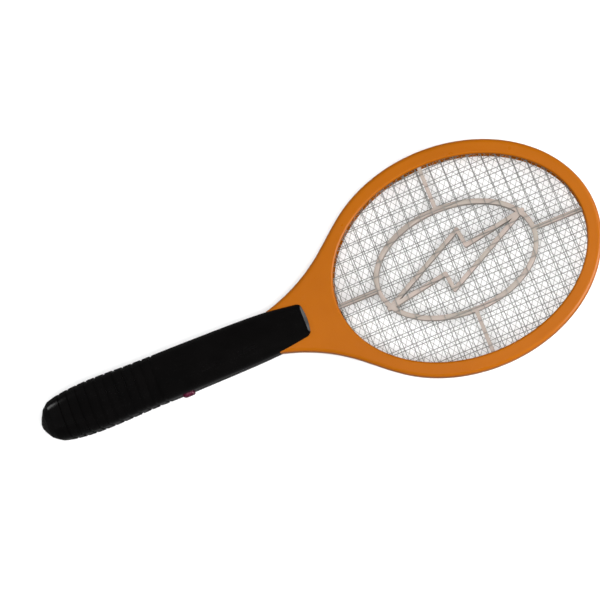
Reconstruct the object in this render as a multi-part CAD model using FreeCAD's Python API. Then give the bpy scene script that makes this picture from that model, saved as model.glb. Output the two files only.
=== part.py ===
import FreeCAD, Part
import math
import os

V = FreeCAD.Vector
X, Y, Z = V(1, 0, 0), V(0, 1, 0), V(0, 0, 1)

# An electric fly swatter lying on its back. X runs from the butt of the handle to the tip of the
# head, Z is up, out of the front face. Heights below are measured from the parting plane that
# splits the head frame and the handle, which lies MID above the table.
MID = 16.3
HALF_LENGTH = 235.5

# Head: an oval ring with a flared neck
HEAD_X = 122.5
RING_A, RING_B = 113.0, 90.5
OPEN_A, OPEN_B = 102.0, 78.6
FRAME_HALF = 7.5
FACE_WALL = 1.8
OUTER_WALL = 2.2
LIP_WALL = 1.8
LIP_BOTTOM = 4.8
RIM_FILLET = 3.0
LIP_FILLET = 1.6
SHOULDER_X = -35.2
SHOULDER_W = 17.3
FLARE_ANGLE, FLARE_REACH = 15.5, 62.0
JOIN_X, JOIN_REACH = -52.0, 45.0
STEM_X, STEM_W, STEM_HOLLOW, STEM_BOSS_R = -58.0, 14.6, 9.0, 3.0

# Grids and spacers
WIRE = 0.55
PITCH = 10.4
LOW_WIRE, HIGH_WIRE = 3.9, 4.47
WIRE_REACH = 2.6
# Each grid: its side of the parting plane, its turn in degrees and its shift from the head's centre
GRIDS = (
    ("front_grid", 1, 0.0, V(-6.6, -0.3, 0)),
    ("rear_grid", -1, 0.9, V(-4.9, 4.1, 0)),
)
MESH_WIRE, MESH_PITCH, MESH_ANGLE, MESH_LEVEL = 0.34, 4.2, 55.0, 0.19
SPACER_LOW, SPACER_HIGH = 0.5, 3.5
SPACER_RIM_IN, SPACER_RIM_OUT = 1.9, 4.1
OVAL_X, OVAL_A, OVAL_B, RIB = -3.0, 67.0, 44.25, 3.8
FLASH_TIP, FLASH_BARB, FLASH_NOTCH = (62.4, 16.6), (9.5, 21.7), (11.5, 7.5)
FLASH_RIB = 3.2
SPOKE, SPOKE_BITE = 3.1, 3.0

# Ring screws
RING_BOSS_OUT = 6.7
RING_BOSS_ANGLES = (25, 62, 118, 242, 298, 335)
NECK_BOSSES = ((2.0, 22.0), (2.0, -22.0))
RING_BOSS_R, RING_HEAD_R, RING_SHANK_R = 2.3, 1.7, 1.1
RING_HEAD_DEPTH, RING_HEAD_H = 2.2, 1.3

# Handle: x, half width, half thickness, corner radius of each section
WALL = 2.2
SECTIONS = (
    (-224.0, 16.2, 14.0, 8.5),
    (-212.0, 18.7, 16.2, 10.0),
    (-150.0, 19.4, 16.5, 10.0),
    (-122.0, 19.2, 16.55, 10.0),
    (-95.0, 18.9, 16.45, 10.0),
    (-60.0, 18.3, 15.0, 9.0),
    (-35.5, 17.3, 12.6, 7.5),
    (-5.5, 13.3, 10.5, 5.0),
)
MOUTH_X = -35.5
TONGUE_TIP = -5.5
TONGUE_CORNER, TONGUE_BULGE = 6.0, 45.0
NECK_FIT = 0.15
CAVITY_REAR, CAVITY_FRONT = -221.8, -37.5
GROOVE_FIRST, GROOVE_PITCH, GROOVE_COUNT = -133.0, 8.0, 11
GROOVE_WIDTH, GROOVE_DEPTH = 2.2, 0.8
BEVEL_LENGTH, BEVEL_LOW, BEVEL_TOP = 6.6, 8.9, 13.0

# Ribs and screws inside the handle
RIB_INSET, RIB_T, RIB_TOP = 0.9, 1.6, 15.8
CELL_RIBS, BOARD_RIBS, NECK_RIBS = (-195.0, -180.0, -165.0), (-124.0, -106.0), (-54.0, -41.0)
HANDLE_BOSSES = ((-214.0, 12.0), (-214.0, -12.0), (-146.0, 12.0), (-146.0, -12.0))
NECK_SCREWS = (-47.0, -15.8)
BOSS_R, HEAD_BOSS_R = 3.0, 3.8
SCREW_SHANK_R, SCREW_HEAD_R, SCREW_HEAD_H = 1.25, 2.4, 1.6

# Trigger button on the narrow side
TRIGGER_X, TRIGGER_L, TRIGGER_H = -115.5, 9.5, 8.5
TRIGGER_TOP, TRIGGER_BACK = -21.5, -15.7
TRIGGER_GAP, TRIGGER_ROUND = 0.3, 1.6
FLANGE_T, FLANGE_EDGE = 0.7, 1.0
PLUNGER_R, SWITCH_FACE, SWITCH_L, SWITCH_W, SWITCH_TOP = 1.4, -12.0, 8.0, 6.0, 3.2
SPRING_R, SPRING_WIRE, SPRING_TURNS = 2.4, 0.4, 3

# Power switch, indicator light
KNOB_X, KNOB_L, KNOB_W, KNOB_TRAVEL = -89.5, 5.4, 4.2, 5.0
KNOB_FLANGE_L, KNOB_FLANGE_W, KNOB_FLANGE_LOW, KNOB_FLANGE_T = 15.0, 7.2, -13.5, 0.9
LENS_X, LENS_R, LENS_LOW, LENS_HIGH = -69.0, 2.5, -15.2, -12.2
LED_R, LEG_R = 1.5, 0.25

# Butt cap and its hinge
CAP_X = -224.2
CAP_SECTIONS = (
    (CAP_X, 16.1, 13.9, 8.4),
    (-229.4, 12.3, 10.6, 6.6),
    (-233.4, 6.6, 5.7, 4.0),
    (-HALF_LENGTH, 2.6, 2.3, 1.6),
)
CAP_HOLLOW = (
    (CAP_X + 0.1, 14.4, 12.2, 7.0),
    (-229.0, 10.8, 9.0, 5.4),
    (-232.0, 6.0, 5.0, 3.6),
)
HINGE_X, HINGE_Z = -224.0, -14.0
KNUCKLE_R, PIN_R = 1.5, 0.7
KNUCKLE_HALF, KNUCKLE_END = 4.0, 8.0

# Battery: two cells in series, side by side and head to tail
CELL_R, CELL_Y, CELL_REAR, CELL_FRONT = 7.1, 7.4, -205.0, -156.0
PIP_R, PIP_H = 2.7, 1.2
HOLDER_LOW, HOLDER_FLOOR, HOLDER_TOP, HOLDER_W = -9.2, -7.3, 2.0, 15.0
HOLDER_WALL, CONTACT_T, CONTACT_LOW = 1.6, 0.4, -5.0

# Circuit board and what stands on it
BOARD_REAR, BOARD_FRONT, BOARD_W = -130.0, -64.0, 13.0
BOARD_LOW, BOARD_TOP = -6.0, -4.4
SEAT = BOARD_TOP + 0.05
CORE_X, CORE_SIZE, CORE_H, CORE_WINDOW, CORE_YOKE, CORE_LEG = -95.0, 13.0, 12.0, 8.6, 2.2, 3.2
WINDING_L, WINDING_W = 8.2, 17.2
FILM_X, FILM_L, FILM_W, FILM_H = -79.25, 5.5, 16.0, 10.0
SMALL_PART_X, SMALL_PART_PITCH, SMALL_PART_COUNT = -73.0, 3.0, 3
CAN_X, CAN_Y, CAN_R, CAN_H, CAN_FLAT, LEG_PITCH = -107.0, 5.0, 2.4, 4.8, 1.4, 1.27
CHARGE_BOARD_FRONT, CHARGE_BOARD_W, CHARGE_BOARD_LOW, CHARGE_BOARD_TOP = -209.0, 8.0, -3.2, -2.0
SOCKET_L, SOCKET_W, SOCKET_H, SOCKET_WALL = 5.9, 7.8, 2.9, 0.4

# Leads and grid terminals
LEAD_R = 0.65
LUG_X, LUG_L, LUG_Y, LUG_W, LUG_T = 11.5, 6.3, 7.0, 4.4, 0.4


def save(name, *shapes):
    """Raises the solids to their height above the table and writes them as one node."""
    solids = []
    for shape in shapes:
        solids.extend(shape.Solids)
    group = solids[0] if len(solids) == 1 else Part.makeCompound(solids)
    placed = group.copy()
    placed.translate(Z * MID)
    placed.exportStep("parts/" + name + ".step")
    sound = all(s.isValid() for s in placed.Solids)
    print(name, len(placed.Solids), "solids", round(placed.Volume, 1), "mm3", "" if sound else "BAD")


def box(x0, x1, y0, y1, z0, z1):
    return Part.makeBox(x1 - x0, y1 - y0, z1 - z0, V(x0, y0, z0))


def rod(start, end, radius):
    return Part.makeCylinder(radius, (end - start).Length, start, end - start)


def post(x, y, z0, z1, radius):
    return rod(V(x, y, z0), V(x, y, z1), radius)


def oval(a, b, z0, z1, centre_x=HEAD_X):
    """An upright elliptical slab."""
    curve = Part.Ellipse(V(centre_x, 0, z0), a, b)
    return Part.Face(Part.Wire(curve.toShape())).extrude(Z * (z1 - z0))


def polar(angle):
    return math.cos(math.radians(angle)), math.sin(math.radians(angle))


# Head frame


def flare_end(inset):
    """The point and the direction where the flare runs into the ring's ellipse."""
    a, b = RING_A - inset, RING_B - inset
    y = b * math.sqrt(1 - (JOIN_X / a) ** 2)
    slope = V(y * a * a, -JOIN_X * b * b, 0).normalize()
    return V(HEAD_X + JOIN_X, y, 0), slope


def frame_outline(inset):
    """The head's outline: shoulder, flared neck and oval ring, set in by a wall's thickness."""
    shoulder = V(SHOULDER_X + inset, SHOULDER_W - inset, 0)
    join, slope = flare_end(inset)
    c, s = polar(FLARE_ANGLE)
    poles = [shoulder, shoulder + V(c, s, 0) * FLARE_REACH, join - slope * JOIN_REACH, join]
    below = [V(p.x, -p.y, 0) for p in reversed(poles)]
    upper, lower = Part.BezierCurve(), Part.BezierCurve()
    upper.setPoles(poles)
    lower.setPoles(below)
    tip = V(HEAD_X + RING_A - inset, 0, 0)
    ellipse = Part.Ellipse(V(HEAD_X, 0, 0), RING_A - inset, RING_B - inset)
    ends = [ellipse.parameter(V(join.x, -join.y, 0)), ellipse.parameter(join)]
    ring = Part.ArcOfEllipse(ellipse, ends[0] - 2 * math.pi, ends[1])
    assert (ring.value(0) - tip).Length < 0.01
    heel = Part.LineSegment(below[-1], poles[0])
    return Part.Wire([heel.toShape(), upper.toShape(), ring.toShape(), lower.toShape()])


def frame_slab(inset, z0, z1):
    wire = frame_outline(inset)
    wire.translate(Z * z0)
    return Part.Face(wire).extrude(Z * (z1 - z0))


def rounded_rim(slab):
    """Rounds the outer edge of the front face, apart from the heel under the handle."""
    rim = []
    for edge in slab.Edges:
        centre = edge.CenterOfMass
        if abs(centre.z - FRAME_HALF) < 0.01 and centre.x > SHOULDER_X + 1:
            rim.append(edge)
    return slab.makeFillet(RIM_FILLET, rim)


def rounded_lip(shape):
    """Rounds the edge of the oval opening on the front face."""
    lip = []
    for edge in shape.Edges:
        on_face = abs(edge.BoundBox.ZMin - FRAME_HALF) < 0.01
        if on_face and abs(edge.BoundBox.XMax - HEAD_X - OPEN_A) < 0.01:
            lip.append(edge)
    return shape.makeFillet(LIP_FILLET, lip)


def ring_boss_places():
    places = list(NECK_BOSSES)
    for angle in RING_BOSS_ANGLES:
        c, s = polar(angle)
        places.append((HEAD_X + (OPEN_A + RING_BOSS_OUT) * c, (OPEN_B + RING_BOSS_OUT) * s))
    return places


def half_frame():
    """One half of the head frame, open towards the parting plane."""
    shell = rounded_rim(frame_slab(0, 0, FRAME_HALF))
    stem = box(STEM_X, SHOULDER_X + 1, -STEM_W, STEM_W, 0, FRAME_HALF)
    shell = rounded_lip(shell.cut(oval(OPEN_A, OPEN_B, -1, FRAME_HALF + 1))).fuse(stem)
    roof = FRAME_HALF - FACE_WALL
    pocket = frame_slab(OUTER_WALL, -1, roof)
    pocket = pocket.cut(oval(OPEN_A + LIP_WALL, OPEN_B + LIP_WALL, -2, roof + 1))
    under_lip = oval(OPEN_A + LIP_WALL + 0.5, OPEN_B + LIP_WALL + 0.5, -1, LIP_BOTTOM)
    duct = box(STEM_X - 1, SHOULDER_X + 6, -STEM_HOLLOW, STEM_HOLLOW, -1, roof)
    shell = shell.cut(pocket).cut(under_lip).cut(duct)
    for x, y in ring_boss_places():
        shell = shell.fuse(post(x, y, 0, FRAME_HALF - 1, RING_BOSS_R))
    for x in NECK_SCREWS:
        shell = shell.fuse(post(x, 0, 0, FRAME_HALF - 1, STEM_BOSS_R))
        shell = shell.cut(post(x, 0, -1, FRAME_HALF + 1, SCREW_SHANK_R + 0.25))
    return shell.removeSplitter()


def make_frame():
    front = half_frame()
    rear = front.mirror(V(0, 0, 0), Z)
    screws = []
    for x, y in ring_boss_places():
        front = front.cut(post(x, y, -1, FRAME_HALF - 2, RING_SHANK_R + 0.03))
        rear = rear.cut(post(x, y, -FRAME_HALF - 1, 1, RING_SHANK_R + 0.2))
        rear = rear.cut(post(x, y, -FRAME_HALF - 1, -FRAME_HALF + RING_HEAD_DEPTH, RING_HEAD_R + 0.2))
        seat = -FRAME_HALF + RING_HEAD_DEPTH - 0.02
        screws.append(driven_screw(x, y, seat, FRAME_HALF - 3, RING_SHANK_R, RING_HEAD_R, RING_HEAD_H))
    save("frame_front", front)
    save("frame_rear", rear)
    save("frame_screws", *screws)


# Grids


def chord(point, direction):
    """The stretch of a line that lies inside the oval where the wires end, or None."""
    a, b = OPEN_A + WIRE_REACH, OPEN_B + WIRE_REACH
    px, py = (point.x - HEAD_X) / a, point.y / b
    dx, dy = direction.x / a, direction.y / b
    square, half, rest = dx * dx + dy * dy, px * dx + py * dy, px * px + py * py - 1
    root = half * half - square * rest
    if root <= 0:
        return None
    root = math.sqrt(root)
    start, end = (-half - root) / square, (-half + root) / square
    return point + direction * start, point + direction * end


def wire_family(angle, pitch, shift, level, radius, shortest=30.0):
    """Parallel wires at one height, cut to the oval."""
    c, s = polar(angle)
    along, across = V(c, s, 0), V(-s, c, 0)
    count = int(RING_A / pitch) + 1
    wires = []
    for i in range(-count, count + 1):
        ends = chord(V(HEAD_X, 0, 0) + shift + across * (i * pitch), along)
        if ends and (ends[1] - ends[0]).Length > shortest:
            wires.append(rod(ends[0] + Z * level, ends[1] + Z * level, radius))
    return wires


def make_grids():
    """Two welded square grids and the diamond mesh that hangs between them."""
    for name, side, turn, shift in GRIDS:
        long_wires = wire_family(turn, PITCH, shift, side * HIGH_WIRE, WIRE / 2)
        cross_wires = wire_family(90 + turn, PITCH, shift, side * LOW_WIRE, WIRE / 2)
        save(name, *(long_wires + cross_wires))
    rising = wire_family(MESH_ANGLE, MESH_PITCH, V(0, 0, 0), MESH_LEVEL, MESH_WIRE / 2)
    falling = wire_family(-MESH_ANGLE, MESH_PITCH, V(0, 0, 0), -MESH_LEVEL, MESH_WIRE / 2)
    save("centre_grid", *(rising + falling))


def rib(start, end, width, z0, z1):
    """A straight rib with round ends between two points in plan."""
    run = V(end[0] - start[0], end[1] - start[1], 0)
    bar = Part.makeBox(run.Length, width, z1 - z0, V(0, -width / 2, 0))
    bar.rotate(V(0, 0, 0), Z, math.degrees(math.atan2(run.y, run.x)))
    bar.translate(V(start[0], start[1], z0))
    return bar.fuse([post(p[0], p[1], z0, z1, width / 2) for p in (start, end)])


def make_spacers():
    """Two insulating spacers: rim, four spokes, an oval rib and a zigzag flash."""
    z0, z1 = SPACER_LOW, SPACER_HIGH
    centre = HEAD_X + OVAL_X
    rim = oval(OPEN_A + SPACER_RIM_OUT, OPEN_B + SPACER_RIM_OUT, z0, z1)
    rim = rim.cut(oval(OPEN_A + SPACER_RIM_IN, OPEN_B + SPACER_RIM_IN, z0 - 1, z1 + 1))
    ring = oval(OVAL_A, OVAL_B, z0, z1, centre)
    ring = ring.cut(oval(OVAL_A - RIB, OVAL_B - RIB, z0 - 1, z1 + 1, centre))
    spokes = [
        rib((centre + OVAL_A - RIB / 2, 0), (HEAD_X + OPEN_A + SPOKE_BITE, 0), SPOKE, z0, z1),
        rib((centre - OVAL_A + RIB / 2, 0), (HEAD_X - OPEN_A - SPOKE_BITE, 0), SPOKE, z0, z1),
        rib((centre, OVAL_B - RIB / 2), (centre, OPEN_B + SPOKE_BITE), SPOKE, z0, z1),
        rib((centre, -OVAL_B + RIB / 2), (centre, -OPEN_B - SPOKE_BITE), SPOKE, z0, z1),
    ]
    half_flash = [(-FLASH_TIP[0], -FLASH_TIP[1]), FLASH_BARB, FLASH_NOTCH]
    corners = half_flash + [(-x, -y) for x, y in half_flash]
    corners = [(centre + x, y) for x, y in corners]
    flash = []
    for i, corner in enumerate(corners):
        flash.append(rib(corner, corners[(i + 1) % len(corners)], FLASH_RIB, z0, z1))
    spacer = rim.fuse([ring] + spokes + flash).removeSplitter()
    save("spacer_front", spacer)
    save("spacer_rear", spacer.mirror(V(0, 0, 0), Z))


# Handle


def section(x, half_w, half_t, corner):
    """A rounded rectangle across the handle."""
    w, t = half_w - corner, half_t - corner
    arcs = []
    for turn, (a, b) in enumerate(((w, t), (-w, t), (-w, -t), (w, -t))):
        c, s = polar(90 * turn)
        start = V(0, c, s) * corner
        end = V(0, -s, c) * corner
        middle = (start + end).normalize() * corner
        centre = V(x, a, b)
        arcs.append(Part.Arc(centre + start, centre + middle, centre + end).toShape())
    edges = []
    for arc, following in zip(arcs, arcs[1:] + arcs[:1]):
        straight = Part.LineSegment(arc.Vertexes[-1].Point, following.Vertexes[0].Point)
        edges += [arc, straight.toShape()]
    return Part.Wire(edges)


def handle_loft(inset=0.0):
    wires = [section(x, w - inset, t - inset, r - inset) for x, w, t, r in SECTIONS]
    return Part.makeLoft(wires, True, False)


def grooves():
    """Finger grooves round the grip."""
    core = handle_loft(GROOVE_DEPTH)
    rings = []
    for i in range(GROOVE_COUNT):
        x = GROOVE_FIRST - GROOVE_PITCH * i
        rings.append(box(x - GROOVE_WIDTH / 2, x + GROOVE_WIDTH / 2, -30, 30, -30, 30).cut(core))
    return Part.makeCompound(rings)


def tongue_plan():
    """The plan that the tongue keeps: straight sides, round corners and a bulging front edge."""
    tip_w = SECTIONS[-1][1]
    back = TONGUE_TIP - TONGUE_CORNER - 0.4
    corner_y = tip_w - TONGUE_CORNER + 0.5
    rest = box(-300, back - 10, -40, 40, -40, 40)
    plan = box(-300, back, -40, 40, -40, 40)
    plan = plan.fuse(box(back - 1, TONGUE_TIP, TONGUE_CORNER - tip_w, tip_w - TONGUE_CORNER, -40, 40))
    plan = plan.fuse([post(back, y, -40, 40, TONGUE_CORNER) for y in (-corner_y, corner_y)])
    return plan.common(post(TONGUE_TIP - TONGUE_BULGE, 0, -40, 40, TONGUE_BULGE).fuse(rest))


def tongue_bevel():
    """What the bevel takes off the tongue's front edge, above and below."""
    start = V(TONGUE_TIP - BEVEL_LENGTH, -20, BEVEL_TOP)
    corners = [start, V(TONGUE_TIP + 0.1, -20, BEVEL_LOW), V(TONGUE_TIP + 5, -20, BEVEL_TOP), start]
    upper = Part.Face(Part.makePolygon(corners)).extrude(Y * 40)
    return upper.fuse(upper.mirror(V(0, 0, 0), Z))


def handle_body():
    """Both half shells as one hollow body, before they are split."""
    body = handle_loft()
    body = body.cut(box(-300, 0, -40, 40, -40, -MID))
    body = body.common(tongue_plan()).cut(tongue_bevel()).cut(grooves())
    cavity = handle_loft(WALL).common(box(CAVITY_REAR, CAVITY_FRONT, -40, 40, -40, 40))
    slot_w, slot_h = STEM_W + NECK_FIT, FRAME_HALF + NECK_FIT
    stem_slot = box(CAVITY_FRONT - 1, 0, -slot_w, slot_w, -slot_h, slot_h)
    neck_slot = box(MOUTH_X, 0, -40, 40, -slot_h, slot_h)
    return body.cut(cavity).cut(stem_slot).cut(neck_slot)


def cross_rib(x, half_w, z0, z1):
    return box(x - RIB_T / 2, x + RIB_T / 2, -half_w, half_w, z0, z1)


def front_shell_ribs():
    stem_gap = FRAME_HALF + NECK_FIT
    ribs = [cross_rib(x, 12, CELL_R + 0.3, RIB_TOP) for x in CELL_RIBS]
    ribs += [cross_rib(x, 11, stem_gap, RIB_TOP) for x in NECK_RIBS]
    ribs += [post(x, y, 0, RIB_TOP, BOSS_R) for x, y in HANDLE_BOSSES]
    ribs.append(post(NECK_SCREWS[0], 0, stem_gap, RIB_TOP, BOSS_R))
    return ribs


def rear_shell_ribs():
    stem_gap = FRAME_HALF + NECK_FIT
    ribs = [cross_rib(x, 12, -RIB_TOP, HOLDER_LOW - 0.2) for x in CELL_RIBS]
    ribs += [cross_rib(x, 11, -RIB_TOP, BOARD_LOW - 0.1) for x in BOARD_RIBS]
    ribs += [cross_rib(x, 11, -RIB_TOP, -stem_gap) for x in NECK_RIBS]
    ribs += [post(x, y, -RIB_TOP, 0, HEAD_BOSS_R) for x, y in HANDLE_BOSSES]
    ribs.append(post(NECK_SCREWS[0], 0, -RIB_TOP, -stem_gap, HEAD_BOSS_R))
    return ribs


def handle_screw_places():
    """x, y, seat of the head and end of the thread of each handle screw."""
    places = [(x, y, -8.0, 8.0) for x, y in HANDLE_BOSSES]
    places.append((NECK_SCREWS[0], 0.0, -9.6, 11.0))
    places.append((NECK_SCREWS[1], 0.0, -8.7, 9.4))
    return places


def driven_screw(x, y, seat, end, shank_r, head_r, head_h):
    """A pan-head screw driven in from the back, with a cross recess."""
    head = post(x, y, seat - head_h, seat, head_r)
    arm, half_slot = 0.65 * head_r, 0.14 * head_r
    low, high = seat - head_h - 0.1, seat - 0.45 * head_h
    slot = box(x - arm, x + arm, y - half_slot, y + half_slot, low, high)
    cross = box(x - half_slot, x + half_slot, y - arm, y + arm, low, high)
    return head.fuse(post(x, y, seat, end, shank_r)).cut(slot).cut(cross)


def side_window(extra):
    """The trigger's window through the narrow side wall."""
    half_l, half_h = TRIGGER_L / 2 + extra, TRIGGER_H / 2 + extra
    return box(TRIGGER_X - half_l, TRIGGER_X + half_l, -25, -14, -half_h, half_h)


def knuckle(y0, y1, radius):
    return rod(V(HINGE_X, y0, HINGE_Z), V(HINGE_X, y1, HINGE_Z), radius)


def ribbed(shell, ribs, core):
    """A half shell with its ribs and bosses, cut to end inside its wall."""
    for piece in ribs:
        shell = shell.fuse(piece.common(core))
    return shell


def rear_openings(rear):
    """The knob's slot, the lens hole and the hinge of the butt cap in the rear shell."""
    slot_half_l, slot_half_w = KNOB_L / 2 + 0.3, KNOB_W / 2 + 0.3
    slot_end = KNOB_X + slot_half_l + KNOB_TRAVEL
    rear = rear.cut(box(KNOB_X - slot_half_l, slot_end, -slot_half_w, slot_half_w, -30, -10))
    rear = rear.cut(post(LENS_X, 0, -30, -10, LENS_R + 0.1))
    for y0, y1 in ((-KNUCKLE_END - 0.2, 0.1 - KNUCKLE_HALF), (KNUCKLE_HALF - 0.1, KNUCKLE_END + 0.2)):
        rear = rear.cut(knuckle(y0, y1, KNUCKLE_R + 0.35))
    rear = rear.fuse(knuckle(-KNUCKLE_HALF, KNUCKLE_HALF, KNUCKLE_R))
    return rear.cut(knuckle(-KNUCKLE_END, KNUCKLE_END, PIN_R + 0.03))


def make_shells():
    body = handle_body().cut(side_window(TRIGGER_GAP))
    body = body.cut(box(SECTIONS[0][0] - 1, CAVITY_REAR + 1, -4.2, 4.2, -2.3, 1.3))
    core = handle_loft(RIB_INSET)
    above, below = box(-300, 0, -40, 40, 0, 40), box(-300, 0, -40, 40, -40, 0)
    front = ribbed(body.common(above), front_shell_ribs(), core.common(above))
    rear = ribbed(body.common(below), rear_shell_ribs(), core.common(below))
    screws = []
    for x, y, seat, end in handle_screw_places():
        front = front.cut(post(x, y, -1, end + 0.5, SCREW_SHANK_R + 0.03))
        rear = rear.cut(post(x, y, -30, 1, SCREW_SHANK_R + 0.2))
        rear = rear.cut(post(x, y, -30, seat, SCREW_HEAD_R + 0.2))
        screws.append(driven_screw(x, y, seat - 0.02, end, SCREW_SHANK_R, SCREW_HEAD_R, SCREW_HEAD_H))
    save("handle_front", front.removeSplitter())
    save("handle_rear", rear_openings(rear).removeSplitter())
    save("handle_screws", *screws)


def make_butt_cap():
    """A hollow lid over the charging socket, hinged at its lower edge."""
    outer = Part.makeLoft([section(*s) for s in CAP_SECTIONS], True, True)
    inner = Part.makeLoft([section(*s) for s in CAP_HOLLOW], True, True)
    cap = outer.cut(inner)
    cap = cap.cut(knuckle(-KNUCKLE_HALF - 0.2, KNUCKLE_HALF + 0.2, KNUCKLE_R + 0.35))
    for side in (-1, 1):
        y0, y1 = sorted((side * (KNUCKLE_HALF + 0.2), side * KNUCKLE_END))
        cap = cap.fuse(knuckle(y0, y1, KNUCKLE_R))
    cap = cap.cut(knuckle(-KNUCKLE_END - 1, KNUCKLE_END + 1, PIN_R + 0.05))
    save("butt_cap", cap)
    save("butt_cap_pin", knuckle(-KNUCKLE_END, KNUCKLE_END, PIN_R))


# Trigger


def make_trigger():
    half_l, half_h = TRIGGER_L / 2, TRIGGER_H / 2
    x0, x1 = TRIGGER_X - half_l, TRIGGER_X + half_l
    button = box(x0, x1, TRIGGER_TOP, TRIGGER_BACK, -half_h, half_h)
    outer_edges = [e for e in button.Edges if e.BoundBox.YMax < TRIGGER_TOP + 0.01]
    depth_edges = [e for e in button.Edges if e.BoundBox.YLength > 1]
    button = button.makeFillet(TRIGGER_ROUND, outer_edges + depth_edges)
    reach = half_h + FLANGE_EDGE
    flange = box(x0 - FLANGE_EDGE, x1 + FLANGE_EDGE, TRIGGER_BACK - FLANGE_T, TRIGGER_BACK, -reach, reach)
    save("trigger_button", button.fuse(flange))
    save("switch_plunger", trigger_rod(TRIGGER_BACK + 0.1, SWITCH_FACE + 1.5, PLUNGER_R))
    block = box(TRIGGER_X - SWITCH_L / 2, TRIGGER_X + SWITCH_L / 2,
                SWITCH_FACE, SWITCH_FACE + SWITCH_W, SEAT, SWITCH_TOP)
    bore = trigger_rod(SWITCH_FACE - 1, SWITCH_FACE + SWITCH_W - 1.5, PLUNGER_R + 0.1)
    save("trigger_switch", block.cut(bore))
    coil = spring(TRIGGER_X, TRIGGER_BACK + 0.3, SWITCH_FACE - 0.3, SPRING_R, SPRING_WIRE, SPRING_TURNS)
    save("trigger_spring", coil)


def trigger_rod(y0, y1, radius):
    """A round rod along the trigger's line of travel."""
    return rod(V(TRIGGER_X, y0, 0), V(TRIGGER_X, y1, 0), radius)


def spring(x, y0, y1, coil_r, wire, turns):
    """A compression spring along Y."""
    pitch = (y1 - y0 - wire) / turns
    helix = Part.makeHelix(pitch, pitch * turns, coil_r)
    profile = Part.Wire(Part.Circle(V(coil_r, 0, 0), Y, wire / 2).toShape())
    coil = Part.Wire(helix).makePipeShell([profile], True, True)
    coil.rotate(V(0, 0, 0), X, -90)
    coil.translate(V(x, y0 + wire / 2, 0))
    return coil


# Power switch and indicator


def make_power_switch():
    skin = -MID
    half_l, half_w = KNOB_L / 2, KNOB_W / 2
    grip = box(KNOB_X - half_l, KNOB_X + half_l, -half_w, half_w, skin + 0.25, KNOB_FLANGE_LOW)
    for i in range(-1, 2):
        x = KNOB_X + 1.6 * i
        grip = grip.cut(box(x - 0.35, x + 0.35, -3, 3, skin, skin + 0.7))
    half_l, half_w = KNOB_FLANGE_L / 2, KNOB_FLANGE_W / 2
    flange_top = KNOB_FLANGE_LOW + KNOB_FLANGE_T
    flange = box(KNOB_X - half_l, KNOB_X + half_l, -half_w, half_w, KNOB_FLANGE_LOW, flange_top)
    save("power_switch_knob", grip.fuse(flange))
    body = box(KNOB_X - 5, KNOB_X + 5 + KNOB_TRAVEL, -3.8, 3.8, flange_top + 0.3, BOARD_LOW - 0.05)
    save("power_switch_body", body)


def make_indicator():
    lens = post(LENS_X, 0, LENS_LOW, LENS_HIGH, LENS_R)
    lens = lens.makeFillet(0.6, [e for e in lens.Edges if abs(e.CenterOfMass.z - LENS_LOW) < 0.01])
    save("indicator_lens", lens.fuse(post(LENS_X, 0, LENS_HIGH - 0.8, LENS_HIGH, LENS_R + 0.9)))
    led = post(LENS_X, 0, LENS_HIGH + 0.2, BOARD_LOW - 1.2, LED_R)
    legs = [post(LENS_X + dx, 0, BOARD_LOW - 1.3, BOARD_LOW - 0.02, LEG_R) for dx in (-0.9, 0.9)]
    save("indicator_led", led.fuse(legs))


# Battery


def make_cell(name, side):
    """One round cell; the two point opposite ways."""
    y = side * CELL_Y
    cell = rod(V(CELL_REAR, y, 0), V(CELL_FRONT - PIP_H, y, 0), CELL_R)
    cell = cell.makeFillet(0.8, [e for e in cell.Edges if e.BoundBox.XLength < 0.1])
    if side > 0:
        pip = rod(V(CELL_FRONT - PIP_H - 0.1, y, 0), V(CELL_FRONT, y, 0), PIP_R)
    else:
        pip = rod(V(CELL_REAR - 0.9, y, 0), V(CELL_REAR + 0.1, y, 0), PIP_R)
    save(name, cell.fuse(pip))


def make_battery():
    make_cell("battery_cell_right", -1)
    make_cell("battery_cell_left", 1)
    rear_wall, front_wall = CELL_REAR - 3.2, CELL_FRONT + 0.8
    end_w = HOLDER_W - 1
    tray = box(rear_wall, front_wall + HOLDER_WALL, -HOLDER_W, HOLDER_W, HOLDER_LOW, HOLDER_FLOOR)
    for x in (rear_wall, front_wall):
        tray = tray.fuse(box(x, x + HOLDER_WALL, -end_w, end_w, HOLDER_FLOOR, HOLDER_TOP))
    lead_notch = box(rear_wall - 1, rear_wall + HOLDER_WALL + 1, -1.6, 1.6, -3.0, 3.0)
    save("battery_holder", tray.cut(lead_notch))
    bridge_x, tab_x = CELL_REAR - 1.4, CELL_FRONT + 0.2
    bridge = box(bridge_x, bridge_x + CONTACT_T, -12, 12, CONTACT_LOW, 1.5)
    tabs = [box(tab_x, tab_x + CONTACT_T, y - 4, y + 4, CONTACT_LOW, 4.6) for y in (-CELL_Y, CELL_Y)]
    save("battery_contacts", bridge, *tabs)


# Circuit board and the parts on it


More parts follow.
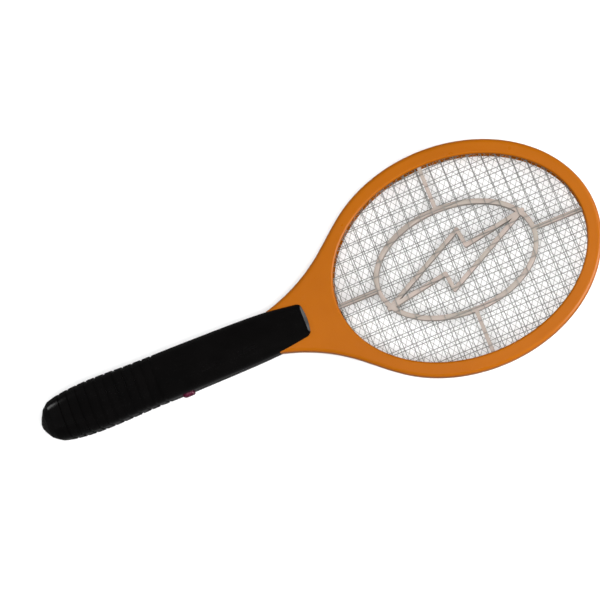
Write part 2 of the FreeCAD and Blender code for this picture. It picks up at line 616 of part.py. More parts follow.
def make_transformer():
    """An E core of ferrite with its winding round the middle leg."""
    half, top = CORE_SIZE / 2, SEAT + CORE_H
    core = box(CORE_X - half, CORE_X + half, -half, half, SEAT, top)
    half_window = CORE_WINDOW / 2
    window = box(CORE_X - half_window, CORE_X + half_window, -8, 8, SEAT + CORE_YOKE, top - CORE_YOKE)
    half_leg = CORE_LEG / 2
    leg = box(CORE_X - half_leg, CORE_X + half_leg, -half, half, SEAT + 2, top - 2)
    save("transformer_core", core.cut(window).fuse(leg))
    low, high = SEAT + CORE_YOKE + 0.2, top - CORE_YOKE - 0.2
    half_l, half_w = WINDING_L / 2, WINDING_W / 2
    winding = box(CORE_X - half_l, CORE_X + half_l, -half_w, half_w, low, high)
    hole = box(CORE_X - half_leg - 0.2, CORE_X + half_leg + 0.2, -9, 9, SEAT + 1, top - 1)
    save("transformer_winding", winding.cut(hole))


def make_board():
    board = box(BOARD_REAR, BOARD_FRONT, -BOARD_W, BOARD_W, BOARD_LOW, BOARD_TOP)
    save("circuit_board", board)
    half_l, half_w = FILM_L / 2, FILM_W / 2
    film = box(FILM_X - half_l, FILM_X + half_l, -half_w, half_w, SEAT, SEAT + FILM_H)
    save("high_voltage_capacitor", film.makeFillet(1.0, film.Edges))
    diodes, resistors = [], []
    for i in range(SMALL_PART_COUNT):
        x = SMALL_PART_X + SMALL_PART_PITCH * i
        diodes.append(axial(x, 7.0, 5.2, 1.35, SEAT))
        resistors.append(axial(x, -6.5, 6.0, 1.1, SEAT))
    save("rectifier_diodes", *diodes)
    save("resistors", *resistors)
    can = post(CAN_X, CAN_Y, SEAT + 1.2, SEAT + 1.2 + CAN_H, CAN_R)
    can = can.cut(box(CAN_X - 3, CAN_X - CAN_FLAT, -9, 9, -9, 9))
    legs = [post(CAN_X, CAN_Y + dy, SEAT, SEAT + 1.4, LEG_R) for dy in (-LEG_PITCH, 0, LEG_PITCH)]
    save("transistor", can.fuse(legs))


def axial(x, y, length, radius, floor):
    """A small two-lead component lying across the board on its bent wires."""
    height = floor + radius + 0.3
    body = rod(V(x, y - length / 2, height), V(x, y + length / 2, height), radius)
    for side in (-1, 1):
        end = y + side * (length / 2 + 1.2)
        body = body.fuse(rod(V(x, y, height), V(x, end, height), LEG_R))
        body = body.fuse(post(x, end, floor, height + LEG_R, LEG_R))
    return body


def make_charger():
    """The charging socket behind the butt cap, on a small board of its own."""
    low, high = CHARGE_BOARD_LOW, CHARGE_BOARD_TOP
    rear = CAVITY_REAR + 0.3
    save("charge_board", box(rear, CHARGE_BOARD_FRONT, -CHARGE_BOARD_W, CHARGE_BOARD_W, low, high))
    mouth, half_w, base = SECTIONS[0][0] + 0.6, SOCKET_W / 2, high + 0.05
    shell = box(mouth, mouth + SOCKET_L, -half_w, half_w, base, base + SOCKET_H)
    inner_w, back = half_w - SOCKET_WALL, mouth + SOCKET_L - 0.6
    hollow = box(mouth - 1, back, -inner_w, inner_w, base + SOCKET_WALL, base + SOCKET_H - SOCKET_WALL)
    middle = base + SOCKET_H / 2
    tongue = box(mouth + 0.8, back + 0.1, -2.6, 2.6, middle - 0.25, middle + 0.25)
    save("charging_socket", shell.cut(hollow).fuse(tongue))
    save("charge_chip", box(-216.0, -212.8, -2.5, 2.5, base, base + 1.35))


# Leads


def lead(points, radius):
    """A lead along straight runs that tangent arcs join."""
    points = [V(*p) for p in points]
    edges, last = [], points[0]
    for before, corner, after in zip(points, points[1:], points[2:]):
        into, out = corner - before, after - corner
        run = 0.45 * min(into.Length, out.Length)
        into.normalize()
        out.normalize()
        start, end = corner - into * run, corner + out * run
        half_turn = into.getAngle(out) / 2
        bend = run / math.tan(half_turn)
        to_centre = (out - into).normalize()
        centre = corner + to_centre * (bend / math.cos(half_turn))
        edges.append(Part.LineSegment(last, start).toShape())
        edges.append(Part.Arc(start, centre - to_centre * bend, end).toShape())
        last = end
    edges.append(Part.LineSegment(last, points[-1]).toShape())
    path = Part.Wire(edges)
    ring = Part.Circle(points[0], points[1] - points[0], radius).toShape()
    return path.makePipeShell([Part.Wire(ring)], True, False)


def make_terminals():
    """Three flat lugs that join the grids to their leads, a link and an insulating sleeve."""
    level = 0.5 * (LOW_WIRE + HIGH_WIRE) + LUG_T / 2
    y0, y1 = LUG_Y - LUG_W / 2, LUG_Y + LUG_W / 2
    for name, z in (("front_grid_terminal", level), ("rear_grid_terminal", -level)):
        save(name, box(LUG_X, LUG_X + LUG_L, -y1, -y0, z - LUG_T / 2, z + LUG_T / 2))
    save("centre_grid_terminal", box(LUG_X - 0.3, LUG_X + 4.7, y0, y1, -0.25, 0.25))
    save("grid_link", post(LUG_X + 1.5, -LUG_Y - 1, -level + 0.25, level - 0.25, 0.5))
    save("terminal_sleeve", box(18.5, 21.6, -9.8, -4.4, LOW_WIRE - 0.2, HIGH_WIRE + 0.25))


def make_leads():
    """Five insulated leads; each is a list of the points that it passes."""
    level = BOARD_TOP + LEAD_R + 0.1
    save("lead_outer_grids", lead(
        [(-65.2, 6.4, level), (-50, 6.6, -3.2), (-32, 6.4, -1.2), (-16, 5.6, 1.6),
         (-2, -1.0, 2.6), (6, -5.8, 3.0), (12.4, -6.4, 3.2)], LEAD_R))
    save("lead_centre_grid", lead(
        [(-65.2, -6.4, level), (-50, -6.6, -3.4), (-32, -6.4, -2.4), (-16, -5.0, -2.8),
         (-4, 2.0, -2.0), (4, 6.0, -1.4), (12.0, 7.0, -1.1)], LEAD_R))
    plus = [(-153.0, 5.0, 3.2), (-145.0, 4.2, 2.4), (-137.0, 4.8, -0.8), (-128.0, 5.0, level)]
    save("battery_lead_positive", lead(plus, LEAD_R))
    save("battery_lead_negative", lead([(x, -y, z) for x, y, z in plus], LEAD_R))
    save("charge_lead", lead(
        [(-211.4, 0, -1.2), (-206.0, 0, 4.0), (-182.0, 0, 4.4), (-158.0, 0, 4.2),
         (-140.0, 0, 1.0), (-127.0, 0, level)], LEAD_R))


os.makedirs("parts", exist_ok=True)
make_frame()
make_grids()
make_spacers()
make_shells()
make_butt_cap()
make_trigger()
make_power_switch()
make_indicator()
make_battery()
make_transformer()
make_board()
make_charger()
make_terminals()
make_leads()
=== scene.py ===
# %% [markdown]
# # Electric fly swatter
# It lies on its back: X runs from the butt of the handle to the tip of the head, and Z comes out of
# the front face. Everything after this cell either gives those parts a finish or adds what they still
# lack.

# %% Load the engineered parts
import math

import bpy
from mathutils import Matrix, Vector


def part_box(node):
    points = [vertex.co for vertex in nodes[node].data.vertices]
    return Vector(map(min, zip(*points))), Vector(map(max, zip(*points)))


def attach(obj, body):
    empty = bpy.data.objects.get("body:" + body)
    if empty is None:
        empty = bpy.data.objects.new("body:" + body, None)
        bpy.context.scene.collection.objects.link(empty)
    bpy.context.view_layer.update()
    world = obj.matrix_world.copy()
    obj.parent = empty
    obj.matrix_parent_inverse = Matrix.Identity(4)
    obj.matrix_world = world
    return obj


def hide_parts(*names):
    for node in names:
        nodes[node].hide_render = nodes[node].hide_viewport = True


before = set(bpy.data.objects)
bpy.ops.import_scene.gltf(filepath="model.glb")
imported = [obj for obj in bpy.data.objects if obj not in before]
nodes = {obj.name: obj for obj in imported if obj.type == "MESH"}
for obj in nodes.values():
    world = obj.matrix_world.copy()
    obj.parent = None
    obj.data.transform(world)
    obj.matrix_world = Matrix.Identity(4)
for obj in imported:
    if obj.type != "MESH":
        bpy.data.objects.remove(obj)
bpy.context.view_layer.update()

MM = 0.001

# %% [markdown]
# Operators act on whatever is selected, and the parts arrive selected. So each new piece starts from
# an empty selection, and its object keeps the world's origin with its place in its mesh.

# %% Helpers for a clean start and a clean end
def deselect():
    bpy.ops.object.select_all(action="DESELECT")


def settle(piece, name):
    """Puts an object's place into its mesh and names it."""
    deselect()
    piece.select_set(True)
    bpy.context.view_layer.objects.active = piece
    bpy.ops.object.transform_apply(location=True, rotation=True, scale=True)
    piece.name = name
    piece.data.name = name
    return piece


# %% [markdown]
# ## The camera
# The swatter is seen almost square to its face. The camera hangs above it and leans a little towards
# the tip and the trigger side, which shows the outer wall of the rim there. It is rolled so that the
# handle runs down to the left.

# %% Camera
AIM = Vector((-0.0061, 0.0166, 0.018))
DISTANCE = 1.45
LEAN_TIP, LEAN_TRIGGER = math.radians(5.0), math.radians(9.5)
ROLL = math.radians(22.15)
VIEW_WIDTH = 0.474
SENSOR = 36.0

toward = Vector((math.sin(LEAN_TIP), -math.sin(LEAN_TRIGGER), 1.0))
toward.z = math.sqrt(1 - toward.x**2 - toward.y**2)
camera_data = bpy.data.cameras.new("camera")
camera_data.sensor_width = SENSOR
camera_data.lens = SENSOR * DISTANCE / VIEW_WIDTH
camera = bpy.data.objects.new("camera", camera_data)
bpy.context.scene.collection.objects.link(camera)
across = Vector((math.cos(ROLL), -math.sin(ROLL), 0))
across = (across - toward * across.dot(toward)).normalized()
upward = toward.cross(across)
turn = Matrix((across, upward, toward)).transposed()
camera.matrix_world = Matrix.Translation(AIM + toward * DISTANCE) @ turn.to_4x4()
bpy.context.scene.camera = camera
print("lens", round(camera_data.lens, 1), "mm")

# %% [markdown]
# ## Floor and light
# A matt near-white floor and four soft panels. One hangs where the camera is, so that the wires' shadows
# fall behind the wires. It is kept out of gloss reflections: a gloss black handle mirrors whatever is
# above it. The other three stand low and off to the sides, where only rounded edges can mirror them: a
# large one on the trigger side draws the bright line along the rim, a small one beyond the tip lights
# the sloping end of the handle's tongue, and a weak one on the far side lifts the shadows.

# %% Floor and lights
CAMERA_PANEL_DISTANCE = 1.5
FLOOR_SIZE = 8.0
FLOOR_GAP = 0.2 * MM
FLOOR_WHITE = (0.93, 0.93, 0.93, 1)
FLOOR_ROUGH = 0.9
SKY_WHITE = (1.0, 1.0, 1.0, 1.0)
SKY_STRENGTH = 0.12


def area_light(name, place, size, power, mirrored=True):
    """A round soft panel that faces the swatter."""
    data = bpy.data.lights.new(name, "AREA")
    data.shape = "DISK"
    data.size = size
    data.energy = power
    light = bpy.data.objects.new(name, data)
    light.location = place
    light.rotation_euler = (AIM - Vector(place)).to_track_quat("-Z", "Y").to_euler()
    light.visible_glossy = mirrored
    bpy.context.scene.collection.objects.link(light)


area_light("ceiling_panel", AIM + toward * CAMERA_PANEL_DISTANCE, 1.3, 34, mirrored=False)
area_light("right_panel", (1.45, -0.95, 0.72), 1.5, 46)
area_light("tip_panel", (1.7, 0.25, 1.05), 0.5, 5)
area_light("left_panel", (-1.3, 0.9, 0.9), 0.7, 6)

world = bpy.data.worlds.new("studio")
world.use_nodes = True
world.node_tree.nodes["Background"].inputs["Color"].default_value = SKY_WHITE
world.node_tree.nodes["Background"].inputs["Strength"].default_value = SKY_STRENGTH
bpy.context.scene.world = world
bpy.context.scene.view_settings.view_transform = "Standard"

deselect()
bpy.ops.mesh.primitive_plane_add(size=FLOOR_SIZE, location=(0, 0, -FLOOR_GAP))
floor = settle(bpy.context.active_object, "floor")
floor_paint = bpy.data.materials.new("floor_paint")
floor_paint.use_nodes = True
floor_shader = floor_paint.node_tree.nodes["Principled BSDF"]
floor_shader.inputs["Base Color"].default_value = FLOOR_WHITE
floor_shader.inputs["Roughness"].default_value = FLOOR_ROUGH
floor.data.materials.append(floor_paint)
floor.visible_glossy = False

# %% [markdown]
# ## Pieces modelled here
# The engineered wires cross each other with a hair of air between them. On the real grids each crossing
# is spot welded: current melts the two wires together and leaves a small squeezed nugget. A nugget could
# be painted, but it is what gives a welded mesh its grain, so it is modelled once, as a ball with few
# faces, and copied to each crossing. The wires themselves are measured from a copy of the grid.

# %% Tools for copies of engineered parts
MERGE_REACH = 0.001 * MM


def free_copy(node, name):
    """A merged copy of an engineered part, selected and active, to measure or to shape."""
    deselect()
    piece = bpy.data.objects.new(name, nodes[node].data.copy())
    piece.data.name = name
    bpy.context.scene.collection.objects.link(piece)
    piece.select_set(True)
    bpy.context.view_layer.objects.active = piece
    bpy.ops.object.mode_set(mode="EDIT")
    bpy.ops.mesh.select_all(action="SELECT")
    bpy.ops.mesh.remove_doubles(threshold=MERGE_REACH)
    bpy.ops.object.mode_set(mode="OBJECT")
    return piece


def wire_boxes(node):
    """The lowest and highest corner of every wire in a grid."""
    free_copy(node, "scratch")
    bpy.ops.mesh.separate(type="LOOSE")
    wires = list(bpy.context.selected_objects)
    boxes = []
    for wire in wires:
        points = [vertex.co for vertex in wire.data.vertices]
        low = Vector([min(point[axis] for point in points) for axis in range(3)])
        high = Vector([max(point[axis] for point in points) for axis in range(3)])
        boxes.append((low, high))
    for wire in wires:
        bpy.data.objects.remove(wire)
    return boxes


# %% Weld nuggets
NUGGET = Vector((0.46, 0.46, 0.40)) * MM
NUGGET_TURN = math.radians(45)
EDGE_MARGIN = 0.5 * MM
REAR_TURN = math.radians(0.9)


def crossings(node, turn):
    """Where the long and the cross wires of a grid meet, given the grid's small turn."""
    boxes = wire_boxes(node)
    spans = [(high - low, (low + high) / 2) for low, high in boxes]
    long_wires = [(size, middle) for size, middle in spans if size.x > size.y]
    cross_wires = [(size, middle) for size, middle in spans if size.x <= size.y]
    slope = math.tan(turn)
    meets = []
    for long_size, along in long_wires:
        for cross_size, over in cross_wires:
            x = (over.x + slope * (over.y - along.y + slope * along.x)) / (1 + slope**2)
            y = along.y + slope * (x - along.x)
            inside_long = abs(x - along.x) < long_size.x / 2 - EDGE_MARGIN
            inside_cross = abs(y - over.y) < cross_size.y / 2 - EDGE_MARGIN
            if inside_long and inside_cross:
                meets.append(Vector((x, y, (along.z + over.z) / 2)))
    return meets


def weld_grid(node, name, turn):
    """One piece that holds every weld nugget of a grid."""
    deselect()
    bpy.ops.mesh.primitive_uv_sphere_add(segments=8, ring_count=6, radius=1.0)
    seed = bpy.context.active_object
    seed.scale = NUGGET
    settle(seed, "nugget")
    bpy.ops.object.mode_set(mode="EDIT")
    bpy.ops.mesh.select_all(action="SELECT")
    bpy.ops.transform.rotate(value=NUGGET_TURN, orient_axis="Z", center_override=(0, 0, 0))
    bpy.ops.object.mode_set(mode="OBJECT")
    bpy.ops.object.shade_smooth()
    copies = []
    for place in crossings(node, turn):
        nugget = bpy.data.objects.new("nugget", seed.data.copy())
        nugget.location = place
        bpy.context.scene.collection.objects.link(nugget)
        copies.append(nugget)
    bpy.data.objects.remove(seed)
    deselect()
    for nugget in copies:
        nugget.select_set(True)
    bpy.context.view_layer.objects.active = copies[0]
    bpy.ops.object.join()
    piece = settle(bpy.context.active_object, name)
    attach(piece, "racket")
    print(name, len(copies), "nuggets")
    return piece


front_welds = weld_grid("front_grid", "front_grid_welds", 0.0)
rear_welds = weld_grid("rear_grid", "rear_grid_welds", REAR_TURN)


# %% [markdown]
# The spacers come out of a mould, so their edges aren't knife sharp. The engineered ones have square
# edges. A copy is merged, its flat faces are joined up again so that only true edges are left, and those
# get a small bevel. The copy stands for the engineered spacer.

# %% Spacers with moulded edges
MOULDED_EDGE = 0.35 * MM
EDGE_STEPS = 2
SHARP_ANGLE = math.radians(35)
FLAT_ANGLE = math.radians(0.5)
SMOOTH_ANGLE = math.radians(30)


def softened(node, name, body):
    """A copy of an engineered part whose sharp edges are rounded a little."""
    piece = free_copy(node, name)
    bpy.ops.object.mode_set(mode="EDIT")
    bpy.ops.mesh.select_all(action="SELECT")
    bpy.ops.mesh.dissolve_limited(angle_limit=FLAT_ANGLE)
    bpy.ops.mesh.normals_make_consistent(inside=False)
    bpy.ops.object.mode_set(mode="OBJECT")
    bevel = piece.modifiers.new("edges", "BEVEL")
    bevel.width = MOULDED_EDGE
    bevel.segments = EDGE_STEPS
    bevel.limit_method = "ANGLE"
    bevel.angle_limit = SHARP_ANGLE
    bevel.use_clamp_overlap = True
    bevel.harden_normals = False
    bpy.ops.object.modifier_apply(modifier="edges")
    bpy.ops.object.shade_smooth_by_angle(angle=SMOOTH_ANGLE)
    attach(piece, body)
    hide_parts(node)
    print(name, len(piece.data.polygons), "faces")
    return piece


moulded_front = softened("spacer_front", "moulded_spacer_front", "racket")
moulded_rear = softened("spacer_rear", "moulded_spacer_rear", "racket")


# %% [markdown]
# The trigger is a soft-cornered pad of clear red plastic with a dished face, and a flange behind it that
# keeps it in the handle. It is pressed from one block: the four corner edges are bevelled round, the
# outer rim is rounded, the face is stepped inwards in three rings, each a little deeper, and the back
# face is extruded into the flange.

# %% Picking parts of a mesh
def pick(piece, mode, chosen):
    """Selects, in edit mode, the vertices, edges or faces of a piece that pass a test."""
    bpy.context.view_layer.objects.active = piece
    bpy.ops.object.mode_set(mode="EDIT")
    bpy.ops.mesh.select_mode(type=mode)
    bpy.ops.mesh.select_all(action="DESELECT")
    bpy.ops.object.mode_set(mode="OBJECT")
    parts = {"VERT": piece.data.vertices, "EDGE": piece.data.edges, "FACE": piece.data.polygons}[mode]
    for part in parts:
        part.select = bool(chosen(part))
    bpy.ops.object.mode_set(mode="EDIT")


def block(name, low, high):
    """A box between two corners, ready for edit mode."""
    deselect()
    bpy.ops.mesh.primitive_cube_add(size=1.0, location=(low + high) / 2)
    piece = bpy.context.active_object
    piece.scale = high - low
    return settle(piece, name)


def edge_run(piece, edge):
    """The vector from one end of an edge to the other."""
    first, second = (piece.data.vertices[index].co for index in edge.vertices)
    return second - first


# %% Trigger pad
PAD_CORNER, PAD_RIM, PAD_DISH = 2.2 * MM, 1.5 * MM, 0.35 * MM
CORNER_STEPS, RIM_STEPS = 8, 6
PAD_SMOOTH = math.radians(35)
FLANGE_EDGE, FLANGE_THICK = 1.0 * MM, 0.7 * MM
DISH_RINGS = ((0.86, 0.3), (0.78, 0.4), (0.6, 0.3))
SAME_LEVEL = 0.01 * MM
DEEP_EDGE = 1 * MM
FACING = 0.99
MANY_SIDED = 8


def trigger_pad():
    """The red button: a soft pad with a dished face, on a flange."""
    low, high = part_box("trigger_button")
    edge = Vector((FLANGE_EDGE, 0, FLANGE_EDGE))
    pad_low = low + edge
    pad_high = high - edge - Vector((0, FLANGE_THICK, 0))
    pad = block("trigger_pad", pad_low, pad_high)
    pick(pad, "EDGE", lambda e: abs(edge_run(pad, e).y) > DEEP_EDGE)
    bpy.ops.mesh.bevel(offset=PAD_CORNER, segments=CORNER_STEPS)
    bpy.ops.object.mode_set(mode="OBJECT")
    outer_y = pad_low.y + SAME_LEVEL
    pick(pad, "EDGE", lambda e: all(pad.data.vertices[i].co.y < outer_y for i in e.vertices))
    bpy.ops.mesh.bevel(offset=PAD_RIM, segments=RIM_STEPS)
    bpy.ops.object.mode_set(mode="OBJECT")
    centre = (pad_low + pad_high) / 2
    face_top = pad_low.y + 2 * PAD_DISH
    for width, drop in DISH_RINGS:
        pick(pad, "FACE", lambda f: f.normal.y < -FACING and f.center.y < face_top
             and len(f.vertices) > MANY_SIDED)
        bpy.ops.mesh.extrude_region_move(TRANSFORM_OT_translate={"value": (0, 0, 0)})
        bpy.ops.transform.resize(value=(width, 1, width), center_override=tuple(centre))
        bpy.ops.transform.translate(value=(0, drop * PAD_DISH, 0))
        bpy.ops.object.mode_set(mode="OBJECT")
    pick(pad, "FACE", lambda f: f.normal.y > FACING)
    bpy.ops.mesh.extrude_region_move(TRANSFORM_OT_translate={"value": (0, 0, 0)})
    size = pad_high - pad_low
    grow = (1 + 2 * FLANGE_EDGE / size.x, 1, 1 + 2 * FLANGE_EDGE / size.z)
    bpy.ops.transform.resize(value=grow, center_override=tuple(centre))
    bpy.ops.mesh.extrude_region_move(TRANSFORM_OT_translate={"value": (0, FLANGE_THICK, 0)})
    bpy.ops.mesh.select_all(action="SELECT")
    bpy.ops.mesh.normals_make_consistent(inside=False)
    bpy.ops.object.mode_set(mode="OBJECT")
    bpy.ops.object.shade_smooth_by_angle(angle=PAD_SMOOTH)
    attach(pad, "trigger")
    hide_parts("trigger_button")
    print("trigger pad", len(pad.data.polygons), "faces", [round(v / MM, 1) for v in pad.dimensions])
    return pad


trigger = trigger_pad()


# %% [markdown]
# The transformer's secondary has hundreds of turns of hair-fine enamelled wire, in neat layers. What
# shows is the outer layer, so one turn is modelled as a thin square loop with round corners, and copies
# of it are stacked up the middle leg of the core.

# %% Transformer turns
TURN_R = 0.2 * MM
TURN_CORNER = 1.2 * MM
TURN_CORNER_STEPS = 5


def winding_turns():
    """A stack of round-cornered wire loops round the transformer's middle leg."""
    low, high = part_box("transformer_winding")
    deselect()
    bpy.ops.mesh.primitive_plane_add(size=1.0, location=(low + high) / 2)
    turn_loop = bpy.context.active_object
    turn_loop.scale = (high.x - low.x - 2 * TURN_R, high.y - low.y - 2 * TURN_R, 1)
    turn_loop.location.z = low.z + TURN_R
    settle(turn_loop, "winding_turns")
    pick(turn_loop, "VERT", lambda v: True)
    bpy.ops.mesh.bevel(offset=TURN_CORNER, segments=TURN_CORNER_STEPS, affect="VERTICES")
    bpy.ops.mesh.delete(type="ONLY_FACE")
    bpy.ops.object.mode_set(mode="OBJECT")
    bpy.ops.object.convert(target="CURVE")
    turn_loop = bpy.context.active_object
    turn_loop.data.bevel_depth = TURN_R
    turn_loop.data.bevel_resolution = 2
    bpy.ops.object.convert(target="MESH")
    turn_loop = bpy.context.active_object
    stack = turn_loop.modifiers.new("stack", "ARRAY")
    stack.use_relative_offset = False
    stack.use_constant_offset = True
    stack.constant_offset_displace = (0, 0, 2 * TURN_R)
    stack.count = int((high.z - low.z) / (2 * TURN_R))
    count = stack.count
    bpy.ops.object.modifier_apply(modifier="stack")
    bpy.ops.object.shade_smooth()
    settle(turn_loop, "winding_turns")
    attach(turn_loop, "racket")
    print("winding", count, "turns")
    return turn_loop


turns = winding_turns()


# %% [markdown]
# ## Finishes
# Every finish starts the same way: one colour that drifts a little over the surface, a roughness that
# drifts with handling, and a fine relief. The helpers below add these layers. All of them read Object
# coordinates, in metres, so a scale of 1000 is one speck per millimetre.

# %% Finish helpers
MIX_FACTOR, MIX_A, MIX_B, MIX_RESULT = 0, 6, 7, 2


def finish(name, colour, rough, share=0.0):
    """A new material and its shader; share is how metallic it is."""
    mat = bpy.data.materials.new(name)
    mat.use_nodes = True
    shader = mat.node_tree.nodes["Principled BSDF"]
    shader.inputs["Base Color"].default_value = (*colour, 1)
    shader.inputs["Roughness"].default_value = rough
    shader.inputs["Metallic"].default_value = share
    return mat, shader


def speckle(mat, scale, detail=3.0, stretch=(1, 1, 1)):
    """A noise over the piece, stretched along its axes if asked; returns its 0 to 1 output."""
    tree = mat.node_tree
    place = tree.nodes.new("ShaderNodeTexCoord")
    mapping = tree.nodes.new("ShaderNodeMapping")
    mapping.inputs["Scale"].default_value = stretch
    noise = tree.nodes.new("ShaderNodeTexNoise")
    noise.inputs["Scale"].default_value = scale
    noise.inputs["Detail"].default_value = detail
    tree.links.new(place.outputs["Object"], mapping.inputs["Vector"])
    tree.links.new(mapping.outputs["Vector"], noise.inputs["Vector"])
    return noise.outputs["Fac"]


def spread(mat, source, low, high, start=0.2, end=0.8):
    """Turns a 0 to 1 output into a range of another value, with soft ends."""
    node = mat.node_tree.nodes.new("ShaderNodeMapRange")
    node.interpolation_type = "SMOOTHSTEP"
    node.inputs["From Min"].default_value = start
    node.inputs["From Max"].default_value = end
    node.inputs["To Min"].default_value = low
    node.inputs["To Max"].default_value = high
    mat.node_tree.links.new(source, node.inputs["Value"])
    return node.outputs["Result"]


def drift(mat, shader, colour_a, colour_b, source):
    """Lets the base colour drift between two near shades."""
    mix = mat.node_tree.nodes.new("ShaderNodeMix")
    mix.data_type = "RGBA"
    mix.inputs[MIX_A].default_value = (*colour_a, 1)
    mix.inputs[MIX_B].default_value = (*colour_b, 1)
    mat.node_tree.links.new(spread(mat, source, 0, 1), mix.inputs[MIX_FACTOR])
    mat.node_tree.links.new(mix.outputs[MIX_RESULT], shader.inputs["Base Color"])


def relief(mat, shader, source, height, strength, under=None):
    """Adds a bump of a height in metres, over an earlier one if there is one; returns its normal."""
    bump = mat.node_tree.nodes.new("ShaderNodeBump")
    bump.inputs["Distance"].default_value = height
    bump.inputs["Strength"].default_value = strength
    mat.node_tree.links.new(source, bump.inputs["Height"])
    if under:
        mat.node_tree.links.new(under, bump.inputs["Normal"])
    mat.node_tree.links.new(bump.outputs["Normal"], shader.inputs["Normal"])
    return bump.outputs["Normal"]


def worn(mat, shader, low, high, scale, detail=4.0, stretch=(1, 1, 1)):
    """Lets roughness drift between two values."""
    source = spread(mat, speckle(mat, scale, detail, stretch), low, high)
    mat.node_tree.links.new(source, shader.inputs["Roughness"])


def wear(finish_made, *pieces):
    """Puts a finish on engineered parts, given by name, or on pieces modelled here."""
    for piece in pieces:
        data = nodes[piece].data if isinstance(piece, str) else piece.data
        data.materials.clear()
        data.materials.append(finish_made)


# %% [markdown]
# The frame and the handle are both moulded in two halves that close on one plane, and where two halves
# meet there is a fine groove. The engineered halves meet without one. It could be cut as a chamfer,
# but it is only a third of a millimetre wide, so it is a bump read from height alone. Both show one line.

# %% Parting line
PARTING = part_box("frame_front")[0].z
SEAM = 0.18 * MM
SEAM_DEPTH = 0.12 * MM


def parting_line(mat, shader, under):
    """A fine groove round a moulding where its two halves meet."""
    tree = mat.node_tree
    place = tree.nodes.new("ShaderNodeTexCoord")
    split = tree.nodes.new("ShaderNodeSeparateXYZ")
    offset = tree.nodes.new("ShaderNodeMath")
    offset.operation = "SUBTRACT"
    offset.inputs[1].default_value = PARTING
    distance = tree.nodes.new("ShaderNodeMath")
    distance.operation = "ABSOLUTE"
    tree.links.new(place.outputs["Object"], split.inputs["Vector"])
    tree.links.new(split.outputs["Z"], offset.inputs[0])
    tree.links.new(offset.outputs[0], distance.inputs[0])
    depth = spread(mat, distance.outputs[0], 0, 1, 0, SEAM)
    relief(mat, shader, depth, SEAM_DEPTH, 1.0, under)


# %% [markdown]
# The head frame is moulded in orange ABS. Moulded plastic isn't a mirror: its skin has a faint orange
# peel, and flow during moulding leaves soft clouds in the colour. A thin coat layer gives the sheen on
# the rounded rim.

# %% Orange plastic
def orange_plastic():
    mat, shader = finish("orange_plastic", (0.27, 0.072, 0.0002), 0.34)
    drift(mat, shader, (0.280, 0.076, 0.0003), (0.255, 0.067, 0.0001), speckle(mat, 28, 2))
    worn(mat, shader, 0.27, 0.40, 160)
    skin = relief(mat, shader, speckle(mat, 500, 2), 0.04 * MM, 0.4)
    parting_line(mat, shader, skin)
    shader.inputs["Specular IOR Level"].default_value = 0.22
    shader.inputs["Coat Weight"].default_value = 0.1
    shader.inputs["Coat Roughness"].default_value = 0.18
    return mat


wear(orange_plastic(), "frame_front", "frame_rear")


# %% [markdown]
# The handle's two shells are gloss black. Gloss black shows everything, so its finish is mostly in the
# roughness: long faint rub marks along the handle, and a dusting of finer specks.

# %% Black plastic
def black_plastic():
    mat, shader = finish("black_plastic", (0.002, 0.002, 0.002), 0.2)
    drift(mat, shader, (0.0005, 0.0004, 0.0004), (0.0012, 0.0010, 0.0010), speckle(mat, 60, 4))
    worn(mat, shader, 0.16, 0.30, 90, 6, (0.25, 1, 1))
    skin = relief(mat, shader, speckle(mat, 600, 2), 0.02 * MM, 0.4)
    parting_line(mat, shader, skin)
    shader.inputs["Specular IOR Level"].default_value = 0.25
    return mat


gloss_black = black_plastic()
wear(gloss_black, "handle_front", "handle_rear", "butt_cap")


# %% [markdown]
# The spacers are natural, uncoloured plastic: a milky beige that lets a little light through. So most of
# the look is the beige body colour with a satin surface, and a tenth of the light is transmitted.

# %% Natural plastic
def natural_plastic():
    mat, shader = finish("natural_plastic", (0.31, 0.26, 0.23), 0.4)
    drift(mat, shader, (0.34, 0.275, 0.245), (0.28, 0.25, 0.215), speckle(mat, 45, 3))
    worn(mat, shader, 0.32, 0.5, 120)
    relief(mat, shader, speckle(mat, 800, 2), 0.05 * MM, 0.5)
    shader.inputs["Transmission Weight"].default_value = 0.1
    shader.inputs["IOR"].default_value = 1.49
    return mat


milky = natural_plastic()
wear(milky, "spacer_front", "spacer_rear", "indicator_led", moulded_front, moulded_rear)


# %% [markdown]
# The button and the indicator lens are clear red plastic. Light that passes through them is mostly lost
# in the dark handle, so only about half of it is let through, and the rest colours the surface.

# %% Red plastic
def red_plastic():
    mat, shader = finish("red_plastic", (0.10, 0.003, 0.028), 0.12)
    drift(mat, shader, (0.13, 0.004, 0.036), (0.07, 0.002, 0.018), speckle(mat, 300, 3))
    worn(mat, shader, 0.1, 0.24, 400)
    relief(mat, shader, speckle(mat, 1500, 2), 0.02 * MM, 0.5)
    shader.inputs["Transmission Weight"].default_value = 0.45
    shader.inputs["IOR"].default_value = 1.49
    return mat


wear(red_plastic(), "trigger_button", "indicator_lens", trigger)


# %% [markdown]
# Wires, screws, springs and terminals are metals that differ in colour and in how they were drawn,
# plated or rolled. One function makes them all from a few numbers.

# %% Metals
def metal(name, colour, dull, low, high, grain, share=1.0):
    """A metal with duller patches; share is how metallic it is, below one for a dull coating."""
    mat, shader = finish(name, colour, low, share)
    drift(mat, shader, colour, dull, speckle(mat, grain, 5))
    worn(mat, shader, low, high, grain * 1.7, 5)
    relief(mat, shader, speckle(mat, grain * 4, 3), 0.01 * MM, 0.6)
    return mat


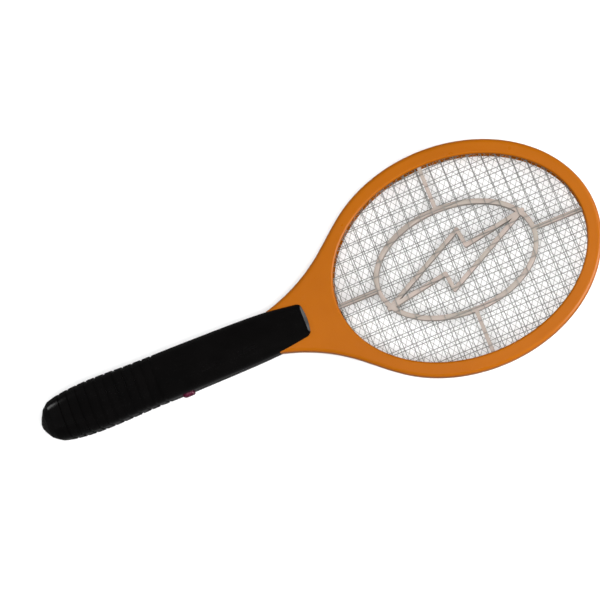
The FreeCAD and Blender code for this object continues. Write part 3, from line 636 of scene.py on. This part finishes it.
grid_wire = metal("grid_wire", (0.33, 0.34, 0.32), (0.20, 0.20, 0.19), 0.3, 0.5, 260, share=0.7)
mesh_wire = metal("mesh_wire", (0.36, 0.35, 0.33), (0.24, 0.23, 0.22), 0.3, 0.5, 300, share=0.6)
zinc_screw = metal("zinc_screw", (0.60, 0.60, 0.58), (0.40, 0.39, 0.36), 0.25, 0.45, 700)
spring_wire = metal("spring_wire", (0.66, 0.66, 0.65), (0.45, 0.44, 0.42), 0.2, 0.35, 900)
nickel_strip = metal("nickel_strip", (0.74, 0.71, 0.66), (0.56, 0.53, 0.48), 0.22, 0.4, 500)

wear(grid_wire, "front_grid", "rear_grid", front_welds, rear_welds)
wear(mesh_wire, "centre_grid")
wear(zinc_screw, "frame_screws", "handle_screws")
wear(spring_wire, "trigger_spring", "butt_cap_pin")
wear(nickel_strip, "battery_contacts", "charging_socket", "power_switch_body")
wear(nickel_strip, "front_grid_terminal", "rear_grid_terminal", "centre_grid_terminal")


# %% [markdown]
# The parts inside get plain electrical finishes, each with its own colour and grain.

# %% Electrical finishes
def plastic(name, colour, other, low, high, grain, height=0.03 * MM):
    """A plastic, lacquer or ceramic: a fine grain over broader, fainter clouds."""
    mat, shader = finish(name, colour, low)
    drift(mat, shader, colour, other, speckle(mat, grain * 0.15, 4))
    worn(mat, shader, low, high, grain * 0.3)
    relief(mat, shader, speckle(mat, grain, 3), height, 0.6)
    return mat


dark_epoxy = plastic("dark_epoxy", (0.014, 0.014, 0.015), (0.024, 0.023, 0.022), 0.4, 0.6, 1400)
ferrite = plastic("ferrite", (0.05, 0.05, 0.052), (0.08, 0.078, 0.075), 0.55, 0.8, 2500, 0.08 * MM)
board_green = plastic("board_green", (0.02, 0.12, 0.04), (0.03, 0.16, 0.06), 0.25, 0.4, 900)
dipped_film = plastic("dipped_film", (0.35, 0.04, 0.02), (0.26, 0.03, 0.015), 0.15, 0.3, 500)
lacquer_tan = plastic("lacquer_tan", (0.42, 0.27, 0.12), (0.34, 0.21, 0.09), 0.3, 0.5, 1800)
white_nylon = plastic("white_nylon", (0.70, 0.70, 0.67), (0.62, 0.61, 0.57), 0.4, 0.6, 1200)
lead_red = plastic("lead_red", (0.45, 0.012, 0.01), (0.36, 0.01, 0.008), 0.4, 0.55, 1600)
lead_black = plastic("lead_black", (0.012, 0.012, 0.012), (0.02, 0.02, 0.02), 0.4, 0.55, 1600)
lead_white = plastic("lead_white", (0.66, 0.65, 0.60), (0.58, 0.56, 0.50), 0.4, 0.55, 1600)
cell_sleeve = plastic("cell_sleeve", (0.02, 0.16, 0.07), (0.015, 0.12, 0.05), 0.2, 0.35, 700)
copper = metal("copper_turns", (0.72, 0.26, 0.10), (0.50, 0.16, 0.06), 0.25, 0.4, 1200)

wear(dark_epoxy, "trigger_switch", "power_switch_knob", "battery_holder", "terminal_sleeve")
wear(dark_epoxy, "rectifier_diodes", "transistor", "charge_chip")
wear(ferrite, "transformer_core")
wear(board_green, "circuit_board", "charge_board")
wear(dipped_film, "high_voltage_capacitor")
wear(lacquer_tan, "resistors")
wear(white_nylon, "switch_plunger")
wear(lead_red, "lead_outer_grids", "battery_lead_positive")
wear(lead_black, "battery_lead_negative", "charge_lead")
wear(lead_white, "lead_centre_grid")
wear(cell_sleeve, "battery_cell_left", "battery_cell_right")
wear(copper, "transformer_winding", "grid_link", turns)
